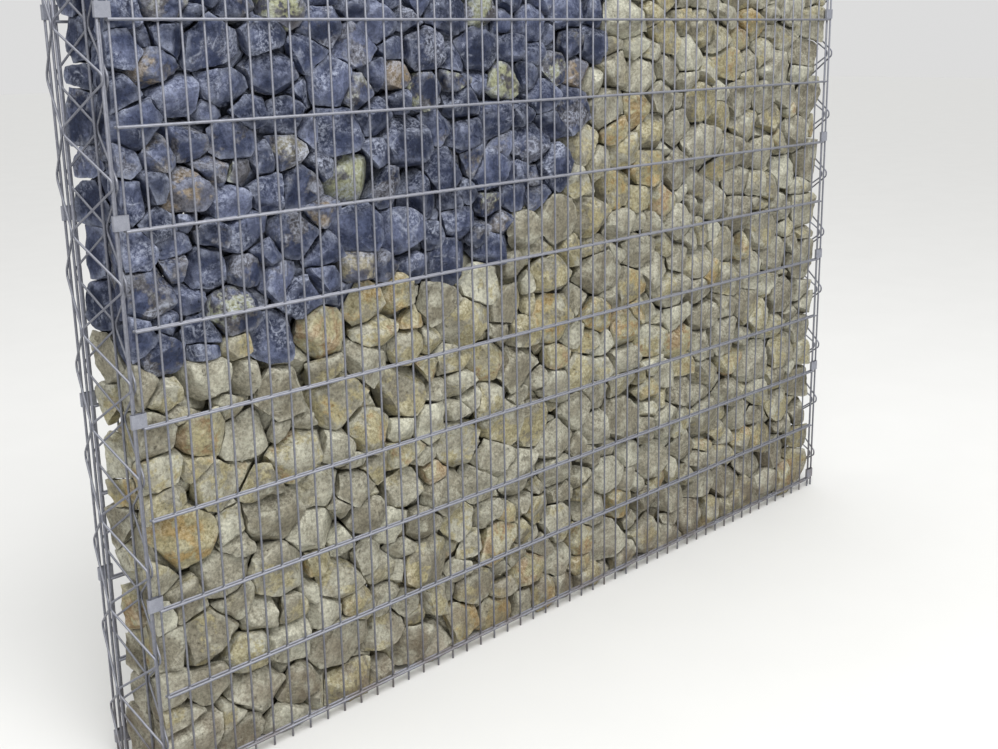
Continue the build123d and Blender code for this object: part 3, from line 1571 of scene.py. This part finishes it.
    def _carve(self, index: int, shares: list[tuple[Vector, Vector]]) -> bpy.types.Mesh:
        """Cut one stone out of a block.

        Args:
            index: The stone's number.
            shares: The planes that part it from its neighbours.

        Returns:
            The stone's mesh.
        """
        stone = self.stones[index]
        rng = random.Random(f"stone {self.seed} {index}")
        bm = bmesh.new()
        bmesh.ops.create_cube(bm, size=self.blank, matrix=Matrix.Translation(stone.at))
        for point, normal in shares + self._limits(stone, rng):
            self._cut(bm, point, normal)
        chips = 0 if stone.layer is Layer.CORE else rng.randint(*self.chips)
        if self.corner.x - abs(stone.at.x) < self.end_band:
            chips = min(chips, self.end_chips)
        for _ in range(chips):
            along = rng.gauss(0, self.chip_scatter)
            outward = abs(rng.gauss(*self.chip_outward))
            away = Vector((along, stone.layer.value * outward, rng.gauss(0, self.chip_scatter)))
            away.normalize()
            reach = [v.co.dot(away) for v in bm.verts]
            depth = (max(reach) - min(reach)) * rng.uniform(*self.chip_depth)
            self._cut(bm, away * (max(reach) - depth), away)
        self._refine(bm, stone)
        soft = self._shape(stone.kind).softness
        bmesh.ops.smooth_vert(
            bm, verts=bm.verts, factor=soft, use_axis_x=True, use_axis_y=True, use_axis_z=True
        )
        bmesh.ops.recalc_face_normals(bm, faces=bm.faces)
        mesh = bpy.data.meshes.new("stone")
        bm.to_mesh(mesh)
        bm.free()
        return mesh

    def _roughen(self, mesh: bpy.types.Mesh, index: int) -> np.ndarray:
        """Give a stone's surface its lumps and dents.

        Args:
            mesh: The stone.
            index: Its number.

        Returns:
            The new points.
        """
        points = read_points(mesh)
        normals = np.zeros(len(points) * 3)
        mesh.vertex_normals.foreach_get("vector", normals)
        normals = normals.reshape(-1, 3)
        moved = points + index * np.array(self.noise_step)
        noise = SurfaceNoise(self.seed)
        lumps = noise.at(moved, self.lumps.scale) * self.lumps.height
        lumps -= np.abs(noise.at(moved + self.dent_shift, self.dents.scale)) * self.dents.height
        lumps += noise.at(moved, self.grit.scale) * self.grit.height
        points = points + normals * (lumps + self.swell)[:, None]
        stone = self.stones[index]
        middle = (points.max(axis=0) + points.min(axis=0)) / 2
        half = (points.max(axis=0) - points.min(axis=0)) / 2
        spread = np.abs((points - middle) / half)
        outer = np.clip((points[:, 1] - middle[1]) * stone.layer.value / half[1], 0, 1)
        from_end = self.corner.x - np.abs(points[:, 0])
        outer *= np.clip(from_end / self.end_band, self.end_fall, 1)
        rim = np.clip((spread[:, 0] ** 2 + spread[:, 2] ** 2), 0, self.rim_limit) ** self.rim_power
        fall = self._shape(stone.kind).bulge * (self.least_fall + self.fall_turns * stone.tint % 1)
        points[:, 1] -= stone.layer.value * outer * rim * fall
        reach = self.corner.y - self.room
        points[:, 1] = np.clip(points[:, 1], -reach, reach)
        points[:, 2] = np.clip(points[:, 2], 0, self.corner.z - self.room)
        return points

    def _piece(
        self, name: str, chosen: list[int], meshes: list[bpy.types.Mesh], material: bpy.types.Material
    ) -> None:
        """Join some stones into one piece and dress it.

        Args:
            name: The piece's name.
            chosen: The numbers of the stones.
            meshes: The meshes of all the stones.
            material: Their material.
        """
        parts = [meshes[i] for i in chosen]
        joined = join_meshes(name, parts, [self._roughen(meshes[i], i) for i in chosen])
        counts = [len(m.vertices) for m in parts]
        for label, values in (
            ("stone_tone", [self.stones[i].tone for i in chosen]),
            ("stone_tint", [self.stones[i].tint for i in chosen]),
        ):
            layer = joined.attributes.new(label, "FLOAT", "POINT")
            layer.data.foreach_set("value", np.repeat(values, counts).astype(np.float32))
        piece = link_mesh(joined, material)
        joined.set_sharp_from_angle(angle=math.radians(self.sharp_angle))
        kind = self.stones[chosen[0]].kind
        dress(piece, [kind.node])
        LOG.info("%s holds %d stones", name, len(chosen))

    def build(self, materials: dict[StoneKind, bpy.types.Material]) -> None:
        """Build and dress all the stones.

        Args:
            materials: The material of each kind of stone.
        """
        for layer in Layer:
            self._scatter(layer)
        places = np.array([tuple(s.at) for s in self.stones])
        reaches = np.array([s.reach for s in self.stones])
        meshes = []
        for index in range(len(self.stones)):
            shares = self._shares(index, places, reaches)
            meshes.append(self._carve(index, shares))
        for kind in StoneKind:
            for layer in Layer:
                for part, (low, high) in enumerate(zip(self.piece_cuts, self.piece_cuts[1:])):
                    chosen = [
                        i
                        for i, s in enumerate(self.stones)
                        if s.kind is kind and s.layer is layer and low <= s.at.x < high
                    ]
                    if chosen:
                        name = f"{kind.value}_{layer.label}_{part}"
                        self._piece(name, chosen, meshes, materials[kind])
        for mesh in meshes:
            bpy.data.meshes.remove(mesh)


@dataclass(frozen=True)
class Viewpoint:
    """The camera's place and lens."""

    at: tuple[float, float, float] = (-2.303, -2.2655, 1.581)
    heading: float = 44.14
    dip: float = 13.04
    roll: float = -0.90
    lens: float = 42.79
    sensor: float = 36.0
    shift_x: float = -0.0132
    shift_y: float = -0.0600

    def build(self) -> bpy.types.Object:
        """Make the scene's camera.

        Returns:
            The camera.
        """
        heading, dip, roll = (math.radians(a) for a in (self.heading, self.dip, self.roll))
        level = math.cos(dip)
        ahead = Vector((math.sin(heading) * level, math.cos(heading) * level, -math.sin(dip)))
        level_right = ahead.cross(UP).normalized()
        level_above = level_right.cross(ahead)
        right = level_right * math.cos(roll) + level_above * math.sin(roll)
        above = level_above * math.cos(roll) - level_right * math.sin(roll)
        data = bpy.data.cameras.new("camera")
        data.lens = self.lens
        data.sensor_width = self.sensor
        data.shift_x = self.shift_x
        data.shift_y = self.shift_y
        made = bpy.data.objects.new("camera", data)
        turn = Matrix((right, above, -ahead)).transposed().to_4x4()
        made.matrix_world = Matrix.Translation(self.at) @ turn
        bpy.context.scene.collection.objects.link(made)
        bpy.context.scene.camera = made
        return made


@dataclass(frozen=True)
class Studio:
    """A plain pale floor under soft, even light."""

    floor_size: float = 80.0
    sky: float = 0.46
    zenith: float = 1.15
    backdrop: float = 0.72
    key_power: float = 315.0
    key_size: float = 3.5
    key_at: tuple[float, float, float] = (-1.7, -3.5, 6.0)
    key_aim: tuple[float, float, float] = (0.0, 0.0, 0.8)
    floor_cells: int = 8

    def _floor(self) -> None:
        """Lay the floor."""
        bm = bmesh.new()
        cells = self.floor_cells
        bmesh.ops.create_grid(bm, x_segments=cells, y_segments=cells, size=self.floor_size / 2)
        floor = place_mesh(bm, "studio_floor", FloorFinish().material())

    def _world(self) -> None:
        """Light the scene from a plain sky, and show the camera a plain backdrop."""
        world = bpy.data.worlds.new("studio_light")
        world.use_nodes = True
        bpy.context.scene.world = world
        nodes = Nodes(world.node_tree)
        seen = nodes.add("ShaderNodeLightPath").outputs["Is Camera Ray"]
        aim = nodes.add("ShaderNodeTexCoord").outputs["Generated"]
        rise = nodes.add("ShaderNodeSeparateXYZ", None, Vector=aim).outputs["Z"]
        height = nodes.ramp(rise, low=0.0, high=1.0)
        glow = nodes.math("MULTIPLY_ADD", height, self.zenith - self.sky, self.sky)
        backdrop = nodes.math("MULTIPLY", seen, self.backdrop)
        unseen = nodes.math("MULTIPLY", nodes.math("SUBTRACT", 1.0, seen), glow)
        strength = nodes.math("ADD", backdrop, unseen)
        shade = nodes.add("ShaderNodeBackground", None, Color=(1.0, 1.0, 1.0, 1.0), Strength=strength)
        nodes.add("ShaderNodeOutputWorld", None, Surface=shade.outputs[0])

    def _key(self) -> None:
        """Hang the key light."""
        data = bpy.data.lights.new("key_light", "AREA")
        data.energy = self.key_power
        data.size = self.key_size
        key = bpy.data.objects.new("key_light", data)
        key.location = self.key_at
        aim = Vector(self.key_aim) - Vector(self.key_at)
        key.rotation_euler = aim.to_track_quat("-Z", "Y").to_euler()
        bpy.context.scene.collection.objects.link(key)

    def build(self) -> None:
        """Make the floor, the world and the key light."""
        self._floor()
        self._world()
        self._key()


def main() -> None:
    """Build the whole wall in order."""
    logging.basicConfig(level=logging.INFO, format="%(message)s")
    bpy.context.scene.view_settings.view_transform = "Standard"
    sizes = WallSizes()
    Viewpoint().build()
    Studio().build()
    effects = SharedEffects()
    wire = WIRE_ZINC.material(effects)
    sheet = CLIP_ZINC.material(effects)
    stones = {finish.kind: finish.material(effects) for finish in (PALE_STONE, DARK_STONE)}
    for face in Face:
        MeshMat(face, sizes).build(wire)
    for end in End:
        EndPost(end, sizes).build(wire)
        for face in Face:
            ClipSet(end, face, sizes).build(sheet)
    StoneFill(sizes).build(stones)


if __name__ == "__main__":
    main()
